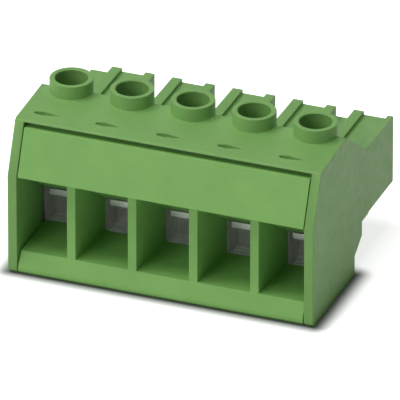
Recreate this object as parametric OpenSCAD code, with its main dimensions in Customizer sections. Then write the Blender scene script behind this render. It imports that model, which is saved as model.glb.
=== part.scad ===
// Pluggable terminal block with screw clamps, for thick wires.
// X runs along the row of poles, Y from the wire entries back to the plug nose, Z up.
// The modules measure y from the wire-entry face; in_row_frame() then centres the depth.

/* [Poles] */
// Number of poles
poles = 5; // [2:1:8]
// Distance between neighbouring poles
pitch = 7.62; // [7.4:0.01:8.5]

/* [Housing outline] */
// Depth from the wire-entry face to the end of the nose
overall_depth = 26.8; // [25:0.1:30]
// Height of the front edge of the top wall
top_front_z = 19.25; // [19:0.05:21]
// Rise of the top wall from its front edge to its back edge
top_rise = 0.35; // [0:0.05:0.8]
// How far the leaning front sets the top wall back
front_setback = 2.6; // [1.5:0.1:3.2]
// Height at which the front starts to lean back
lean_start_z = 12.8; // [12.3:0.1:13.5]
// Back edge of the top wall
top_back_y = 11; // [10.5:0.1:12]
// Where the sloping back meets the nose
shoulder_y = 18.5; // [17.8:0.1:19.2]
// Back wall of the body under the nose
body_back_y = 16.4; // [15.8:0.1:16.9]
// Wall between the clamp shafts and the back of the foot
foot_wall = 0.6; // [0.6:0.1:1.5]
// Height of the straight part of the foot
foot_height = 2.5; // [1.8:0.1:3]
// Height at which the foot has flared out to the body's back wall
flare_top_z = 4.1; // [3.6:0.1:5]
// Thickness of each end wall
end_wall = 1.15; // [1:0.05:1.15]
// Thickness of the top wall
top_wall = 1.4; // [1:0.1:1.8]
// Chamfer along the front and top edges
edge_chamfer = 0.25; // [0.1:0.05:0.4]
// Chamfer along the bottom front edge
toe_chamfer = 0.5; // [0.3:0.05:0.7]

/* [Plug nose] */
// Underside of the nose
nose_bottom_z = 5.9; // [5.5:0.1:6.1]
// Top of the contact chambers
nose_top_z = 14.25; // [13.9:0.05:14.5]
// Left side of a contact chamber, measured from its pole
chamber_left = -1.7; // [-1.8:0.05:-1.6]
// Slot between neighbouring contact chambers
chamber_slot = 1.65; // [1.4:0.05:1.9]
// Width of the keying rib on each chamber
key_rib_w = 1.25; // [0.8:0.05:1.5]
// Height of the keying rib above the chamber
key_rib_h = 0.45; // [0.3:0.05:0.6]
// Chamfer beside the keying rib
key_chamfer = 0.6; // [0.3:0.1:0.7]
// Width of the rim along each chamber's other edge
rim_w = 1.2; // [0.6:0.1:1.4]
// Height of that rim above the chamber
rim_h = 0.45; // [0.2:0.05:0.6]
// Side walls of a contact chamber
chamber_wall = 0.78; // [0.64:0.02:0.9]
// Floor and ceiling of a contact chamber
chamber_floor = 1.25; // [1:0.05:1.4]
// Wall at the end of the nose
nose_wall = 0.9; // [0.6:0.1:1.2]
// Width of the hole for a header pin
pin_hole_w = 2.4; // [1.8:0.1:2.6]
// Height of the hole for a header pin
pin_hole_h = 3.4; // [2.8:0.1:3.8]
// Step round the pin hole that leads the pin in
lead_in = 0.35; // [0.2:0.05:0.5]
// Height of the web that closes the slot before the last chamber
web_top_z = 13.4; // [12.5:0.1:13.8]
// Height of the nose's cheek beside the first chamber
cheek_top_z = 13.8; // [13:0.1:14]

/* [Screwdriver collars] */
// Centre line of the clamp screws
screw_y = 10.9; // [10.7:0.05:11.1]
// Outer radius of a collar
collar_r = 2.6; // [2.4:0.05:3]
// Radius of the hole that guides the screwdriver
guide_r = 1.95; // [1.9:0.05:2.05]
// Height of a collar's rim
collar_top_z = 21.2; // [20.7:0.1:22]
// Chamfer round the mouth of the hole
mouth_chamfer = 0.1; // [0.05:0.05:0.25]

/* [Marks on the top wall] */
// Length of the mark in front of each collar
mark_len = 3; // [2:0.1:4]
// Width of a mark
mark_w = 0.8; // [0.5:0.05:1]
// Depth of a mark
mark_depth = 0.5; // [0.2:0.05:0.6]
// Distance of the marks from the wire-entry face
mark_y = 4.6; // [4.4:0.1:6]
// Sideways offset of a mark from its pole
mark_offset = -0.6; // [-1:0.1:0]

/* [Clamp shafts] */
// Wall between neighbouring shafts
shaft_wall = 1.12; // [1:0.02:1.4]
// Floor of the shafts
shaft_floor_z = 1.4; // [1.3:0.05:1.7]
// Gap between the closed sleeve and the ledge above it
ledge_gap = 0.45; // [0.2:0.05:0.6]
// Thickness of the ledge that carries the screw's head
ledge_h = 1; // [0.8:0.1:1.1]

/* [Entry frame] */
// Gap between the entry frame and the end walls
frame_gap = 0.1; // [0.05:0.01:0.2]
// Gap between the entry frame and the sleeves behind it
back_gap = 0.15; // [0.1:0.05:0.3]
// Thickness of the dividers between the wire entries
divider_w = 1.1; // [0.8:0.05:1.4]
// Distance of the dividers' front edges from the wire-entry face
divider_front_y = 0.9; // [0.6:0.1:1.2]
// Distance at which the dividers start to thicken into a funnel
funnel_y = 3; // [2:0.1:5]
// Height of the floor of the wire entries
floor_z = 2.8; // [2.5:0.1:3]
// Height at which the lip starts to lean back
lip_z = 1.1; // [0.9:0.05:1.5]
// Thickness of the front panel, measured along y
panel_wall = 1.2; // [1:0.1:1.5]
// Gap between the panel and the top wall's front edge
groove_h = 0.6; // [0.3:0.05:0.7]
// Thickness of the top wall's front edge above that gap
brow_h = 0.35; // [0.3:0.05:0.5]
// Height of the entries' ceiling at its back end
ceiling_back_z = 7.1; // [7.1:0.1:8.9]
// Thickness of the ceiling
ceiling_wall = 1; // [0.8:0.1:1.2]

/* [Clamp] */
// Thickness of the sleeve's metal strip
strip = 0.5; // [0.4:0.01:0.6]
// Thickness of the sleeve's lower jaw
jaw_h = 0.7; // [0.6:0.05:0.9]
// Thickness of the sleeve's threaded top
sleeve_top_h = 2; // [1.6:0.1:2.1]
// Length of the sleeve along y
sleeve_len = 3.3; // [3.1:0.05:3.5]
// Outer corner radius of the sleeve
sleeve_corner_r = 0.8; // [0.5:0.05:0.9]
// Gap round the sleeve in its shaft
slide_gap = 0.05; // [0.03:0.01:0.08]
// Room for a wire between the jaw and the bar when the clamp is open
wire_room = 3.95; // [3.5:0.05:4.1]
// Spacing of the serrations in the lower jaw
serration_step = 0.7; // [0.5:0.05:0.9]
// Depth of the serrations
serration_depth = 0.15; // [0.1:0.01:0.2]

/* [Clamp screw] */
// Radius of the screw's thread
screw_r = 1.5; // [1.4:0.05:1.6]
// Gap between the screw and the holes that it turns in
turn_gap = 0.05; // [0.03:0.01:0.08]
// Radius of the screw's head
head_r = 1.88; // [1.7:0.01:1.88]
// Height of the screw's head
head_h = 2.1; // [1.8:0.1:2.2]
// Gap between the head and the wall round it
head_side_gap = 0.32; // [0.2:0.02:0.4]
// Gap between the head and the guide hole above it
head_top_gap = 0.35; // [0.2:0.05:0.5]
// Chamfer round the top of the head
head_chamfer = 0.2; // [0.1:0.05:0.3]
// Width of the slot in the head
slot_w = 0.7; // [0.5:0.05:0.9]
// Depth of the slot in the head
slot_h = 0.9; // [0.6:0.1:1.2]
// Length of the screw's tapered tip
tip_h = 0.6; // [0.3:0.1:0.8]

/* [Contact] */
// Thickness of the contact's metal
contact_t = 0.8; // [0.6:0.05:0.9]
// Gap beside the bar that the wire is pressed against, inside the sleeve
bar_side_gap = 0.5; // [0.2:0.05:0.8]
// Gap between the bar and the sleeve's top when the clamp is open
bar_gap = 0.2; // [0.1:0.05:0.3]
// Gap beside the wire stop in its shaft
stop_side_gap = 0.2; // [0.05:0.05:0.4]
// Gap between the wire stop and the floor of its shaft
stop_floor_gap = 0.3; // [0.1:0.05:0.5]
// Thickness of the socket's walls
socket_wall = 0.5; // [0.4:0.05:0.6]
// Gap between the socket's end and the nose wall
socket_end_gap = 0.3; // [0.2:0.05:0.8]
// Width of the slits between the socket's springs
slit_w = 0.7; // [0.5:0.05:0.9]
// Length of those slits
slit_len = 7.5; // [6:0.1:8]
// Thickness of the steel clip over the socket
clip_t = 0.25; // [0.2:0.01:0.3]
// Length of the clip
clip_len = 6; // [4.5:0.1:7]
// Distance of the clip from the socket's end
clip_setback = 1; // [0.5:0.1:2]
// Opening along the clip's underside
clip_slit = 1; // [0.6:0.1:1.4]
// Gap between the clip and the side walls of its chamber
clip_side_gap = 0.07; // [0.05:0.01:0.1]
// Gap between the clip and the floor and ceiling of its chamber
clip_top_gap = 0.45; // [0.1:0.05:0.5]

/* [Hidden] */
$fn = 48;
over = 1;

body_w = poles * pitch;
bay_w = body_w - 2 * end_wall;
bay_top_z = top_front_z - top_wall;
lean = front_setback / (top_front_z - lean_start_z);
groove_top_z = top_front_z - brow_h;
groove_bottom_z = groove_top_z - groove_h;

sleeve_w = pitch - shaft_wall - 2 * slide_gap;
sleeve_inner_w = sleeve_w - 2 * strip;
sleeve_front_y = screw_y - sleeve_len / 2;
sleeve_back_y = screw_y + sleeve_len / 2;
sleeve_z = shaft_floor_z + slide_gap;
jaw_z = sleeve_z + jaw_h;
bar_z = jaw_z + wire_room;
bar_top_z = bar_z + contact_t;
sleeve_roof_z = bar_top_z + bar_gap;
sleeve_top_z = sleeve_roof_z + sleeve_top_h;

entry_depth = sleeve_front_y - back_gap;
shaft_w = pitch - shaft_wall;
ledge_z = sleeve_top_z + wire_room + ledge_gap;
ledge_top_z = ledge_z + ledge_h;
screw_tip_z = bar_top_z + turn_gap;
head_z = ledge_top_z + turn_gap;
head_top_z = head_z + head_h;
guide_bottom_z = head_top_z + head_top_gap;

stop_y = sleeve_back_y + slide_gap;
stop_back_y = stop_y + contact_t;
foot_depth = stop_back_y + foot_wall;
chamber_right = chamber_left + pitch - chamber_slot;
cavity_w = pitch / 2 - chamber_left - 2 * chamber_wall;
cavity_h = nose_top_z - nose_bottom_z - 2 * chamber_floor;
cavity_end_y = overall_depth - nose_wall;
clip_w = cavity_w - 2 * clip_side_gap;
clip_h = cavity_h - 2 * clip_top_gap;
socket_x = (pitch / 2 + chamber_left) / 2;
socket_z = (nose_top_z + nose_bottom_z) / 2;
socket_w = clip_w - 2 * clip_t;
socket_h = clip_h - 2 * clip_t;
socket_end_y = cavity_end_y - socket_end_gap;

// Centre of pole p along the row, for p from 1 to poles
function pole_x(p) = (p - (poles + 1) / 2) * pitch;
// Front surface at height z
function front_y(z) = (z - lean_start_z) * lean;
// Top surface at distance y from the wire-entry face
function top_z(y) =
    top_front_z + top_rise * (y - front_setback) / (top_back_y - front_setback);

// Moves a piece that was drawn from the wire-entry face to the row's own frame
module in_row_frame() {
    translate([0, -overall_depth / 2, 0]) children();
}

// Extrudes an outline given as [y, z] points along the row, centred
module along_row(w) {
    rotate([90, 0, 90]) linear_extrude(w, center = true) children();
}

// Extrudes an outline given as [x, z] points from y0 back to y1
module along_depth(y0, y1) {
    translate([0, y1, 0]) rotate([90, 0, 0]) linear_extrude(y1 - y0) children();
}

// Box from its lowest corner to its highest
module block(lo, hi) {
    translate(lo) cube(hi - lo);
}

// Round bar along z
module rod(r, z0, z1) {
    translate([0, 0, z0]) cylinder(r = r, h = z1 - z0);
}

// Rectangle with round corners, centred
module round_rect(w, h, r) {
    square([w - 2 * r, h], center = true);
    square([w, h - 2 * r], center = true);
    for (sx = [-1, 1], sy = [-1, 1])
        translate([sx * (w / 2 - r), sy * (h / 2 - r)]) circle(r);
}

// ---- Housing ----

// Side outline of the body, without the nose
module body_outline() {
    c = edge_chamfer;
    polygon([
        [toe_chamfer, 0],
        [foot_depth, 0],
        [foot_depth, foot_height],
        [body_back_y, flare_top_z],
        [body_back_y, nose_bottom_z],
        [shoulder_y, nose_bottom_z],
        [shoulder_y, nose_top_z],
        [top_back_y, top_z(top_back_y)],
        [front_setback + c, top_z(front_setback + c)],
        [front_y(top_front_z - c), top_front_z - c],
        [0, lean_start_z],
        [0, toe_chamfer]
    ]);
}

// Space for the entry frame, with a seat for its panel behind the top wall's front edge
module bay_outline() {
    polygon([
        [-over, -over],
        [entry_depth, -over],
        [entry_depth, bay_top_z],
        [front_y(bay_top_z) + panel_wall, bay_top_z],
        [front_y(groove_top_z) + panel_wall, groove_top_z],
        [-over, groove_top_z]
    ]);
}

// Outline across the contact chamber of pole p; the last one ends flush with the body
module chamber_outline(p) {
    c = edge_chamfer;
    key = chamber_left + key_chamfer;
    right = p < poles ? chamber_right : pitch / 2;
    polygon([
        [chamber_left + c, nose_bottom_z],
        [right - c, nose_bottom_z],
        [right, nose_bottom_z + c],
        [right, nose_top_z + rim_h],
        [chamber_right - rim_w, nose_top_z + rim_h],
        [chamber_right - rim_w, nose_top_z],
        [key + key_rib_w, nose_top_z],
        [key + key_rib_w, nose_top_z + key_rib_h],
        [key, nose_top_z + key_rib_h],
        [chamber_left, nose_top_z - key_chamfer],
        [chamber_left, nose_bottom_z + c]
    ]);
}

// Contact chambers, the cheek beside the first one and the web before the last one
module nose() {
    for (p = [1:poles])
        translate([pole_x(p), 0, 0])
            along_depth(shoulder_y - over, overall_depth) chamber_outline(p);
    block([-body_w / 2, shoulder_y - over, nose_bottom_z],
          [pole_x(1) + chamber_left + over, overall_depth, cheek_top_z]);
    block([pole_x(poles) - pitch / 2 - over, shoulder_y - over, nose_bottom_z],
          [pole_x(poles) + chamber_left + over, overall_depth, web_top_z]);
}

// Collar that stands round a screwdriver hole
module collar() {
    translate([0, screw_y, 0]) rod(collar_r, guide_bottom_z, collar_top_z);
}

// Space for one screw: guide hole, room for the head, and the hole in the ledge
module screw_space() {
    translate([0, screw_y, 0]) {
        rod(guide_r, guide_bottom_z - over, collar_top_z + over);
        translate([0, 0, collar_top_z - mouth_chamfer])
            cylinder(r1 = guide_r, r2 = guide_r + 2 * mouth_chamfer, h = 2 * mouth_chamfer);
        rod(head_r + head_side_gap, ledge_top_z, guide_bottom_z);
        rod(screw_r + turn_gap, ledge_z - over, ledge_top_z + over);
    }
}

// Space for one sleeve and its contact, open towards the wire entry
module shaft_space() {
    block([-shaft_w / 2, entry_depth - over, shaft_floor_z],
          [shaft_w / 2, stop_back_y, ledge_z]);
}

// Space for one socket, with the hole that lets the header pin in
module socket_space() {
    hole = [pin_hole_w, pin_hole_h];
    translate([socket_x, 0, socket_z]) {
        along_depth(stop_y, cavity_end_y) square([cavity_w, cavity_h], center = true);
        along_depth(stop_y, overall_depth + over) square(hole, center = true);
        along_depth(overall_depth - lead_in, overall_depth + over)
            square(hole + 2 * [lead_in, lead_in], center = true);
    }
}

// Mark in the top wall that points along the row
module mark() {
    translate([mark_offset, mark_y, top_z(mark_y) - mark_depth])
        linear_extrude(over)
            polygon([[-mark_len / 2, -mark_w / 4], [-mark_len / 6, -mark_w / 2],
                     [mark_len / 2, 0], [-mark_len / 6, mark_w / 2], [-mark_len / 2, mark_w / 4]]);
}

module housing() {
    color("#7cae60") in_row_frame() difference() {
        union() {
            difference() {
                along_row(body_w) body_outline();
                along_row(bay_w) bay_outline();
            }
            nose();
            for (p = [1:poles]) translate([pole_x(p), 0, 0]) collar();
        }
        for (p = [1:poles]) translate([pole_x(p), 0, 0]) {
            screw_space();
            shaft_space();
            socket_space();
            mark();
        }
    }
}

// ---- Entry frame ----

// Lip and floor of the wire entries
module floor_outline() {
    polygon([
        [toe_chamfer, 0],
        [entry_depth, 0],
        [entry_depth, floor_z],
        [divider_front_y, floor_z],
        [0, lip_z],
        [0, toe_chamfer]
    ]);
}

// Leaning front panel and the ceiling that slopes down behind it
module visor_outline() {
    fall = (lean_start_z - ceiling_back_z) / (entry_depth - divider_front_y);
    back_z = ceiling_back_z + ceiling_wall;
    corner_z = (back_z + fall * (entry_depth - panel_wall + lean_start_z * lean))
        / (1 + fall * lean);
    polygon([
        [0, lean_start_z],
        [divider_front_y, lean_start_z],
        [entry_depth, ceiling_back_z],
        [entry_depth, back_z],
        [front_y(corner_z) + panel_wall, corner_z],
        [front_y(groove_bottom_z) + panel_wall, groove_bottom_z],
        [front_y(groove_bottom_z), groove_bottom_z]
    ]);
}

// Side outline of a divider, which runs up behind the panel to the top wall
module divider_outline() {
    polygon([
        [divider_front_y, 0],
        [entry_depth, 0],
        [entry_depth, bay_top_z],
        [front_y(bay_top_z) + panel_wall / 2, bay_top_z],
        [divider_front_y, lean_start_z]
    ]);
}

// Divider seen from above, thicker towards the back so that it leads the wire in
module divider_plan() {
    back_w = pitch - sleeve_inner_w;
    polygon([
        [-divider_w / 2, 0],
        [divider_w / 2, 0],
        [divider_w / 2, funnel_y],
        [back_w / 2, entry_depth],
        [-back_w / 2, entry_depth],
        [-divider_w / 2, funnel_y]
    ]);
}

module entry_frame() {
    frame_w = bay_w - 2 * frame_gap;
    color("#7aae5e") in_row_frame() {
        along_row(frame_w) floor_outline();
        along_row(frame_w) visor_outline();
        for (p = [1:poles - 1])
            translate([pole_x(p) + pitch / 2, 0, 0]) intersection() {
                along_row(pitch) divider_outline();
                linear_extrude(bay_top_z) divider_plan();
            }
    }
}

// ---- Clamp ----

// Closed loop of metal strip with a thick threaded top and a serrated lower jaw
module tension_sleeve(p) {
    h = sleeve_top_z - sleeve_z;
    tooth = serration_depth * sqrt(2);
    last = floor(sleeve_len / serration_step / 2 - 1);
    color("#b9bcb6") in_row_frame() translate([pole_x(p), 0, 0]) difference() {
        along_depth(sleeve_front_y, sleeve_back_y)
            translate([0, sleeve_z + h / 2]) round_rect(sleeve_w, h, sleeve_corner_r);
        block([-sleeve_inner_w / 2, sleeve_front_y - over, jaw_z],
              [sleeve_inner_w / 2, sleeve_back_y + over, sleeve_roof_z]);
        for (i = [-last:last])
            translate([0, screw_y + i * serration_step, jaw_z])
                rotate([45, 0, 0]) cube([sleeve_inner_w, tooth, tooth], center = true);
        translate([0, screw_y, 0]) rod(screw_r + turn_gap, sleeve_roof_z - over, sleeve_top_z + over);
    }
}

// Slotted screw that draws the sleeve up against the contact's bar
module clamp_screw(p) {
    color("#c4c6c2") in_row_frame() translate([pole_x(p), screw_y, 0]) difference() {
        union() {
            translate([0, 0, screw_tip_z]) cylinder(r1 = screw_r - tip_h / 2, r2 = screw_r, h = tip_h);
            rod(screw_r, screw_tip_z + tip_h, head_z + over);
            rod(head_r, head_z, head_top_z - head_chamfer);
            translate([0, 0, head_top_z - head_chamfer])
                cylinder(r1 = head_r, r2 = head_r - head_chamfer, h = head_chamfer);
        }
        block([-head_r - over, -slot_w / 2, head_top_z - slot_h],
              [head_r + over, slot_w / 2, head_top_z + over]);
    }
}

// ---- Contact ----

// Bar across the sleeve's window, and the plate behind it that stops the wire
module wire_stop() {
    stop_z = shaft_floor_z + stop_floor_gap;
    stop_w = shaft_w - 2 * stop_side_gap;
    bar_w = sleeve_inner_w - 2 * bar_side_gap;
    block([-bar_w / 2, sleeve_front_y, bar_z], [bar_w / 2, stop_back_y, bar_top_z]);
    block([-stop_w / 2, stop_y, stop_z], [stop_w / 2, stop_back_y, bar_top_z]);
}

// Boxed socket, slit at its end into four springs, with the neck that carries it
module socket() {
    wall = 2 * [socket_wall, socket_wall];
    slit_y = socket_end_y - slit_len;
    translate([socket_x, 0, socket_z]) difference() {
        along_depth(stop_y, socket_end_y) square([socket_w, socket_h], center = true);
        along_depth(stop_back_y, socket_end_y + over)
            square([socket_w, socket_h] - wall, center = true);
        block([-slit_w / 2, slit_y, -socket_h], [slit_w / 2, socket_end_y + over, socket_h]);
        block([-socket_w, slit_y, -slit_w / 2], [socket_w, socket_end_y + over, slit_w / 2]);
    }
    block([socket_x - socket_w / 2, stop_y, bar_z],
          [socket_x + socket_w / 2, stop_back_y, socket_z]);
}

module contact(p) {
    color("#c8c9c4") in_row_frame() translate([pole_x(p), 0, 0]) {
        wire_stop();
        socket();
    }
}

// Steel clip that holds the socket's springs together, open along its underside
module contact_spring(p) {
    clip_end_y = socket_end_y - clip_setback;
    color("#9fa3a6") in_row_frame() translate([pole_x(p) + socket_x, 0, socket_z])
        along_depth(clip_end_y - clip_len, clip_end_y) difference() {
            square([clip_w, clip_h], center = true);
            square([socket_w, socket_h], center = true);
            translate([-clip_slit / 2, -clip_h]) square([clip_slit, clip_h]);
        }
}

housing();
entry_frame();
for (p = [1:poles]) {
    tension_sleeve(p);
    clamp_screw(p);
    contact(p);
    contact_spring(p);
}
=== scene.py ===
"""Looks of the pluggable terminal block: finishes, softened edges, screw threads, light and camera."""
import math

import bmesh
import bpy
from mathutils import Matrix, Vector


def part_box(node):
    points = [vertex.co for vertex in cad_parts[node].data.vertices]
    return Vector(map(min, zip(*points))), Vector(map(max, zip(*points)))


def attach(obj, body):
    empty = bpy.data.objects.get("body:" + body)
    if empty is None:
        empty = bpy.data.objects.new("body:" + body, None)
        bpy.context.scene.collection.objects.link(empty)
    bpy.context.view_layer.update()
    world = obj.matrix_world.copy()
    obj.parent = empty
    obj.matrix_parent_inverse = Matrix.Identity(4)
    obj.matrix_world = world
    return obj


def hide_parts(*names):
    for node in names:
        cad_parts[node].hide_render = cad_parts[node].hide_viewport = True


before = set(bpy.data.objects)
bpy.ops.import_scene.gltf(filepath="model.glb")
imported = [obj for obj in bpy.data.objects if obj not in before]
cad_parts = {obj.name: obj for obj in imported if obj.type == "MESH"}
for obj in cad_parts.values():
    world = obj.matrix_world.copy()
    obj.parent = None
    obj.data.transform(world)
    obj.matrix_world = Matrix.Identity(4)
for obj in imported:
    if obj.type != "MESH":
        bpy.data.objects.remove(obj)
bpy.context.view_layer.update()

MM = 0.001
POLES = sum(name.startswith("clamp_screw_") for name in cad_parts)

# Camera: a long lens, so that the view is nearly parallel
VIEW_AZIMUTH = 21
VIEW_ELEVATION = 28.2
VIEW_WIDTH = 46.85 * MM
VIEW_TARGET = Vector((0.03, -0.4, 6.8)) * MM
VIEW_DISTANCE = 1.5
SENSOR = 36

# Lamps: name, azimuth, elevation and watts; azimuth 0 is in front and 90 is to the right
LAMPS = [
    ("key_left", -75, 55, 1.45),
    ("softbox_above", -10, 80, 1.05),
    ("front_fill", -25, 30, 0.8),
]
LAMP_TARGET = Vector((0, 0, 8)) * MM
LAMP_DISTANCE = 0.6
LAMP_SIZE = 0.3
WORLD_FILL = 0.08

# Floor: white of its own where it is seen, with a painted contact shadow: its colour and its glow are
# painted darker close to the object's foot
FLOOR_HALF = 0.4
FLOOR_GLOW = (0.76, 0.76, 0.76, 1)
FLOOR_WHITE = (0.92, 0.92, 0.92, 1)
PAINTED_CONTACT_SHADOW = (0.22, 0.23, 0.22, 1)
PAINTED_SHADOW_REACH = 2.6 * MM

# Edges that turn by more than the first angle are softened, and by more than the second stay crisp
SOFTEN_ANGLE = math.radians(50)
CRISP_ANGLE = math.radians(35)
SOFTEN_STEPS = 2
PLASTIC_EDGE = 0.09 * MM
METAL_EDGE = 0.05 * MM

# Points this close are one, and faces that turn by less than this are one flat face
WELD = 0.0005 * MM
FLAT_ANGLE = math.radians(0.3)

# Two heights or radii that differ by less than this are the same
FLUSH = 0.01 * MM

# Screw thread, within the plain cylinder of the CAD screw, under a short plain neck
THREAD_PITCH = 0.5 * MM
THREAD_DEPTH = 0.28 * MM
THREAD_FLAT = 0.125
THREAD_RUN_OUT = 0.5 * MM
THREAD_TURN_STEPS = 48
THREAD_PITCH_STEPS = 10
NECK = 0.1 * MM

# Colours, linear
HOUSING_GREEN = (0.188, 0.385, 0.106)
# The frame is the same polyamide as the housing; its green is the housing's green painted lighter, as
# painted light on the panel and lip
FRAME_GREEN_PAINTED_LIGHTER = (0.215, 0.450, 0.118)
NICKEL = (0.60, 0.61, 0.59)
ZINC = (0.60, 0.61, 0.61)
TIN = (0.70, 0.71, 0.68)
STEEL = (0.42, 0.43, 0.44)

# Plastic: clouding, patches of gloss and grain
PLASTIC_TINTS = (0.95, 1.04)
PLASTIC_ROUGHNESS = (0.44, 0.56)
PLASTIC_CLOUD = 3.5 * MM
PLASTIC_PATCH = 1.2 * MM
PLASTIC_GRAIN = 0.14 * MM
PLASTIC_GRAIN_HEIGHT = 0.012 * MM
PLASTIC_SPECULAR = 0.28

# Metal: clouding, patches of gloss and drawing marks
METAL_TINTS = (0.86, 1.06)
METAL_GLOSSIER = 0.06
METAL_DULLER = 0.08
METAL_CLOUD = 1.5 * MM
METAL_PATCH = 0.6 * MM
METAL_MARKS = 0.06 * MM
METAL_MARKS_HEIGHT = 0.006 * MM

# Drawing marks run along the axis with the smallest factor
ALONG_Y = (1, 0.1, 1)
ALONG_Z = (1, 1, 0.1)
ALL_WAYS = (1, 1, 1)


# ---- Materials ----

def node_adder(tree):
    """A function that adds a node to the tree, with its settings and its sockets' constants."""
    def add(kind, sockets=None, **settings):
        node = tree.nodes.new(kind)
        for key, value in settings.items():
            setattr(node, key, value)
        for key, value in (sockets or {}).items():
            node.inputs[key].default_value = value
        return node

    return add


def new_material(name):
    """A material with a Principled shader, what adds nodes to it, and what links them."""
    material = bpy.data.materials.new(name)
    material.use_nodes = True
    tree = material.node_tree
    return material, tree.nodes["Principled BSDF"], node_adder(tree), tree.links.new


def shade(colour, factor):
    return tuple(channel * factor for channel in colour) + (1,)


def noise(add, link, coords, size, detail):
    """Noise with features of about the given size."""
    texture = add("ShaderNodeTexNoise", {"Scale": 1 / size, "Detail": detail})
    link(coords, texture.inputs["Vector"])
    return texture.outputs["Fac"]


def noise_between(add, link, coords, size, detail, low, high):
    """Noise whose middle range is spread over two values."""
    spread = add("ShaderNodeMapRange",
                 {"From Min": 0.3, "From Max": 0.7, "To Min": low, "To Max": high})
    link(noise(add, link, coords, size, detail), spread.inputs["Value"])
    return spread.outputs["Result"]


def colour_between(add, link, factor, low, high):
    mix = add("ShaderNodeMix", {6: low, 7: high}, data_type="RGBA")
    link(factor, mix.inputs[0])
    return mix.outputs[2]


def relief(add, link, coords, size, height, strength):
    """The normal of a surface with fine noise of the given size and height."""
    bump = add("ShaderNodeBump", {"Strength": strength, "Distance": height})
    link(noise(add, link, coords, size, 2), bump.inputs["Height"])
    return bump.outputs["Normal"]


def plastic(name, colour):
    """Moulded polyamide: a satin skin with a fine grain and faint clouding from its glass filling."""
    material, shader, add, link = new_material(name)
    coords = add("ShaderNodeTexCoord").outputs["Object"]
    cloud = noise_between(add, link, coords, PLASTIC_CLOUD, 3, 0, 1)
    low, high = [shade(colour, tint) for tint in PLASTIC_TINTS]
    link(colour_between(add, link, cloud, low, high), shader.inputs["Base Color"])
    link(noise_between(add, link, coords, PLASTIC_PATCH, 2, *PLASTIC_ROUGHNESS),
         shader.inputs["Roughness"])
    link(relief(add, link, coords, PLASTIC_GRAIN, PLASTIC_GRAIN_HEIGHT, 0.25),
         shader.inputs["Normal"])
    shader.inputs["Specular IOR Level"].default_value = PLASTIC_SPECULAR
    return material


def metal(name, colour, roughness, brush):
    """Plated strip, wire or screw stock with clouding and fine drawing marks."""
    material, shader, add, link = new_material(name)
    coords = add("ShaderNodeTexCoord").outputs["Object"]
    cloud = noise_between(add, link, coords, METAL_CLOUD, 3, 0, 1)
    low, high = [shade(colour, tint) for tint in METAL_TINTS]
    link(colour_between(add, link, cloud, low, high), shader.inputs["Base Color"])
    link(noise_between(add, link, coords, METAL_PATCH, 3,
                       roughness - METAL_GLOSSIER, roughness + METAL_DULLER),
         shader.inputs["Roughness"])
    stretch = add("ShaderNodeMapping", {"Scale": brush})
    link(coords, stretch.inputs["Vector"])
    link(relief(add, link, stretch.outputs["Vector"], METAL_MARKS, METAL_MARKS_HEIGHT, 0.2),
         shader.inputs["Normal"])
    shader.inputs["Metallic"].default_value = 1
    return material


HOUSING_PLASTIC = plastic("housing_polyamide", HOUSING_GREEN)
# Same finish as the housing, with its colour painted lighter as painted light on the frame's panel and
# lip
FRAME_PLASTIC_PAINTED_LIGHTER = plastic("frame_polyamide_painted_lighter", FRAME_GREEN_PAINTED_LIGHTER)
SLEEVE_METAL = metal("nickel_plating", NICKEL, 0.42, ALONG_Z)
SCREW_METAL = metal("zinc_plating", ZINC, 0.34, ALL_WAYS)
CONTACT_METAL = metal("tin_plating", TIN, 0.46, ALONG_Y)
SPRING_METAL = metal("spring_strip", STEEL, 0.28, ALONG_Y)


# ---- Pieces ----

def cad_mesh(node):
    """A copy of a CAD node's mesh with its flat faces whole again."""
    mesh = bmesh.new()
    mesh.from_mesh(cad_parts[node].data)
    bmesh.ops.remove_doubles(mesh, verts=mesh.verts, dist=WELD)
    bmesh.ops.dissolve_limit(mesh, angle_limit=FLAT_ANGLE, verts=mesh.verts, edges=mesh.edges)
    return mesh


def turns(edge, angle):
    return len(edge.link_faces) == 2 and edge.calc_face_angle(0) > angle


def soften(mesh, width):
    """Rounds the sharp edges by a small radius."""
    sharp = [edge for edge in mesh.edges if turns(edge, SOFTEN_ANGLE)]
    bmesh.ops.bevel(mesh, geom=sharp, offset=width, offset_type="OFFSET", segments=SOFTEN_STEPS,
                    profile=0.5, affect="EDGES", clamp_overlap=False)


def make_piece(mesh, node, body, material):
    """Turns a mesh into a shown piece that rides on its body and stands for the CAD node."""
    for face in mesh.faces:
        face.smooth = True
    for edge in mesh.edges:
        edge.smooth = not turns(edge, CRISP_ANGLE)
    name = node + "_dressed"
    data = bpy.data.meshes.new(name)
    mesh.to_mesh(data)
    mesh.free()
    data.materials.append(material)
    piece = bpy.data.objects.new(name, data)
    bpy.context.scene.collection.objects.link(piece)
    weighted = piece.modifiers.new("flat_faces_stay_flat", "WEIGHTED_NORMAL")
    weighted.keep_sharp = True
    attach(piece, body)
    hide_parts(node)


def dress(node, body, material, width):
    """The CAD node with softened edges and its finish."""
    mesh = cad_mesh(node)
    soften(mesh, width)
    make_piece(mesh, node, body, material)


def from_axis(vert, axis):
    return math.hypot(vert.co.x - axis.x, vert.co.y - axis.y)


def thread_radius(radius, height, turn):
    """Radius of a right-hand thread at a height above its start and a part of a turn."""
    phase = (height / THREAD_PITCH - turn) % 1
    flank = (abs(2 * phase - 1) - THREAD_FLAT) / (1 - 2 * THREAD_FLAT)
    return radius - THREAD_DEPTH * min(max(flank, 0), 1)


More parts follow.
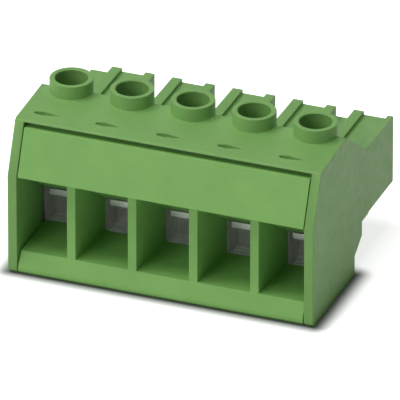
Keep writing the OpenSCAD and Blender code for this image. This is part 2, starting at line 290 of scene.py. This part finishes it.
def add_thread(mesh, axis, radius, tip_radius, tip_z, top_z):
    """A closed threaded shank, tapered at its tip and run out to its core under the neck."""
    length = top_z - tip_z
    rings = round(length / THREAD_PITCH * THREAD_PITCH_STEPS)
    grid = []
    for i in range(rings + 1):
        height = length * i / rings
        taper = tip_radius + height
        run_out = radius - THREAD_DEPTH * (1 - (length - height) / THREAD_RUN_OUT)
        ring = []
        for j in range(THREAD_TURN_STEPS):
            turn = j / THREAD_TURN_STEPS
            r = min(thread_radius(radius, height, turn), taper, run_out)
            angle = turn * math.tau
            place = (axis.x + r * math.cos(angle), axis.y + r * math.sin(angle), tip_z + height)
            ring.append(mesh.verts.new(place))
        grid.append(ring)
    for low, high in zip(grid, grid[1:]):
        for j in range(THREAD_TURN_STEPS):
            k = (j + 1) % THREAD_TURN_STEPS
            mesh.faces.new((low[j], low[k], high[k], high[j]))
    mesh.faces.new(list(reversed(grid[0])))
    mesh.faces.new(grid[-1])


def dress_screw(node, body):
    """The CAD screw's softened head, and a threaded shank in place of its plain one."""
    mesh = cad_mesh(node)
    low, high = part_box(node)
    axis = (Vector(low) + Vector(high)) / 2
    head_radius = max(from_axis(vert, axis) for vert in mesh.verts)
    tip_radius = max(from_axis(vert, axis) for vert in mesh.verts if vert.co.z < low[2] + FLUSH)
    head_z = min(vert.co.z for vert in mesh.verts if from_axis(vert, axis) > head_radius - FLUSH)
    shank = [vert for vert in mesh.verts if vert.co.z < head_z - FLUSH]
    radius = max(from_axis(vert, axis) for vert in shank)
    neck_z = head_z - NECK
    bmesh.ops.bisect_plane(mesh, geom=mesh.verts[:] + mesh.edges[:] + mesh.faces[:],
                           plane_co=(0, 0, neck_z), plane_no=(0, 0, 1), clear_inner=True)
    bmesh.ops.holes_fill(mesh, edges=[edge for edge in mesh.edges if edge.is_boundary])
    soften(mesh, METAL_EDGE)
    add_thread(mesh, axis, radius, tip_radius, low[2], neck_z + FLUSH)
    make_piece(mesh, node, body, SCREW_METAL)


dress("housing", "root", HOUSING_PLASTIC, PLASTIC_EDGE)
dress("entry_frame", "root", FRAME_PLASTIC_PAINTED_LIGHTER, PLASTIC_EDGE)
for pole in range(1, POLES + 1):
    dress(f"tension_sleeve_{pole}", f"clamp_{pole}", SLEEVE_METAL, METAL_EDGE)
    dress(f"contact_{pole}", "root", CONTACT_METAL, METAL_EDGE)
    dress(f"contact_spring_{pole}", "root", SPRING_METAL, METAL_EDGE)
    dress_screw(f"clamp_screw_{pole}", f"screw_{pole}")


# ---- Floor, light and camera ----

def seen_directly(add, link):
    """1 for what the camera sees directly, in a reflection or through glass, 0 for light."""
    path = add("ShaderNodeLightPath")
    seen = path.outputs["Is Camera Ray"]
    for ray in ("Is Glossy Ray", "Is Transmission Ray"):
        either = add("ShaderNodeMath", operation="MAXIMUM")
        link(seen, either.inputs[0])
        link(path.outputs[ray], either.inputs[1])
        seen = either.outputs["Value"]
    return seen


def painted_contact_shadow(add, link):
    """Painted contact shadow: 0 under the object, rising to 1 a short way out from the face that it
    stands on.
    """
    foot = [vert.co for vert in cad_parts["housing"].data.vertices if vert.co.z < FLUSH]
    low = Vector(map(min, zip(*foot)))
    high = Vector(map(max, zip(*foot)))
    place = add("ShaderNodeTexCoord").outputs["Object"]
    steps = [
        ("SUBTRACT", {1: (low + high) / 2}),
        ("ABSOLUTE", {}),
        ("SUBTRACT", {1: (high - low) / 2}),
        ("MAXIMUM", {1: (0, 0, 0)}),
    ]
    for operation, sockets in steps:
        step = add("ShaderNodeVectorMath", sockets, operation=operation)
        link(place, step.inputs[0])
        place = step.outputs["Vector"]
    away = add("ShaderNodeVectorMath", operation="LENGTH")
    link(place, away.inputs[0])
    painted_shadow_fade = add("ShaderNodeMapRange", {"From Max": PAINTED_SHADOW_REACH}, interpolation_type="SMOOTHSTEP")
    link(away.outputs["Value"], painted_shadow_fade.inputs["Value"])
    return painted_shadow_fade.outputs["Result"]


def make_floor():
    """A table that is white where it is seen, keeps the object's soft shadow from the lamps, and has a
    painted contact shadow around the foot.
    """
    half = FLOOR_HALF
    data = bpy.data.meshes.new("floor")
    data.from_pydata([(-half, -half, 0), (half, -half, 0), (half, half, 0), (-half, half, 0)],
                     [], [(0, 1, 2, 3)])
    floor = bpy.data.objects.new("floor", data)
    bpy.context.scene.collection.objects.link(floor)
    material, shader, add, link = new_material("floor")
    painted_shadow_fade = painted_contact_shadow(add, link)
    # Painted shadow: the floor's colour is painted dark near the foot, and its glow fades there too
    link(colour_between(add, link, painted_shadow_fade, PAINTED_CONTACT_SHADOW, FLOOR_WHITE), shader.inputs["Base Color"])
    glow = add("ShaderNodeMath", operation="MULTIPLY")
    link(seen_directly(add, link), glow.inputs[0])
    link(painted_shadow_fade, glow.inputs[1])
    link(glow.outputs["Value"], shader.inputs["Emission Strength"])
    shader.inputs["Emission Color"].default_value = FLOOR_GLOW
    shader.inputs["Roughness"].default_value = 0.9
    shader.inputs["Specular IOR Level"].default_value = 0
    data.materials.append(material)


def make_world():
    """White where it is seen, and a faint fill where it gives light."""
    world = bpy.data.worlds.new("studio")
    bpy.context.scene.world = world
    world.use_nodes = True
    tree = world.node_tree
    add = node_adder(tree)
    link = tree.links.new
    background = tree.nodes["Background"]
    background.inputs["Color"].default_value = (1, 1, 1, 1)
    level = add("ShaderNodeMapRange", {"To Min": WORLD_FILL, "To Max": 1})
    link(seen_directly(add, link), level.inputs["Value"])
    link(level.outputs["Result"], background.inputs["Strength"])


def direction(azimuth, elevation):
    """Towards a place at that azimuth and elevation in degrees, as seen from the object."""
    around = math.radians(azimuth)
    up = math.radians(elevation)
    flat = math.cos(up)
    return Vector((math.sin(around) * flat, -math.cos(around) * flat, math.sin(up)))


def place_facing(thing, toward, distance, target):
    """Puts a lamp or camera at a distance from the target, looking at it."""
    thing.location = target + toward * distance
    thing.rotation_mode = "QUATERNION"
    thing.rotation_quaternion = (-toward).to_track_quat("-Z", "Y")
    bpy.context.scene.collection.objects.link(thing)


def soft_lamp(name, azimuth, elevation, watts):
    data = bpy.data.lights.new(name, "AREA")
    data.shape = "DISK"
    data.size = LAMP_SIZE
    data.energy = watts
    lamp = bpy.data.objects.new(name, data)
    place_facing(lamp, direction(azimuth, elevation), LAMP_DISTANCE, LAMP_TARGET)


def make_camera():
    data = bpy.data.cameras.new("camera")
    data.sensor_width = SENSOR
    data.lens = SENSOR * VIEW_DISTANCE / VIEW_WIDTH
    data.clip_start = VIEW_DISTANCE / 10
    data.clip_end = VIEW_DISTANCE * 10
    camera = bpy.data.objects.new("camera", data)
    place_facing(camera, direction(VIEW_AZIMUTH, VIEW_ELEVATION), VIEW_DISTANCE, VIEW_TARGET)
    bpy.context.scene.camera = camera


make_floor()
make_world()
for lamp in LAMPS:
    soft_lamp(*lamp)
make_camera()

bpy.context.scene.view_settings.view_transform = "Standard"
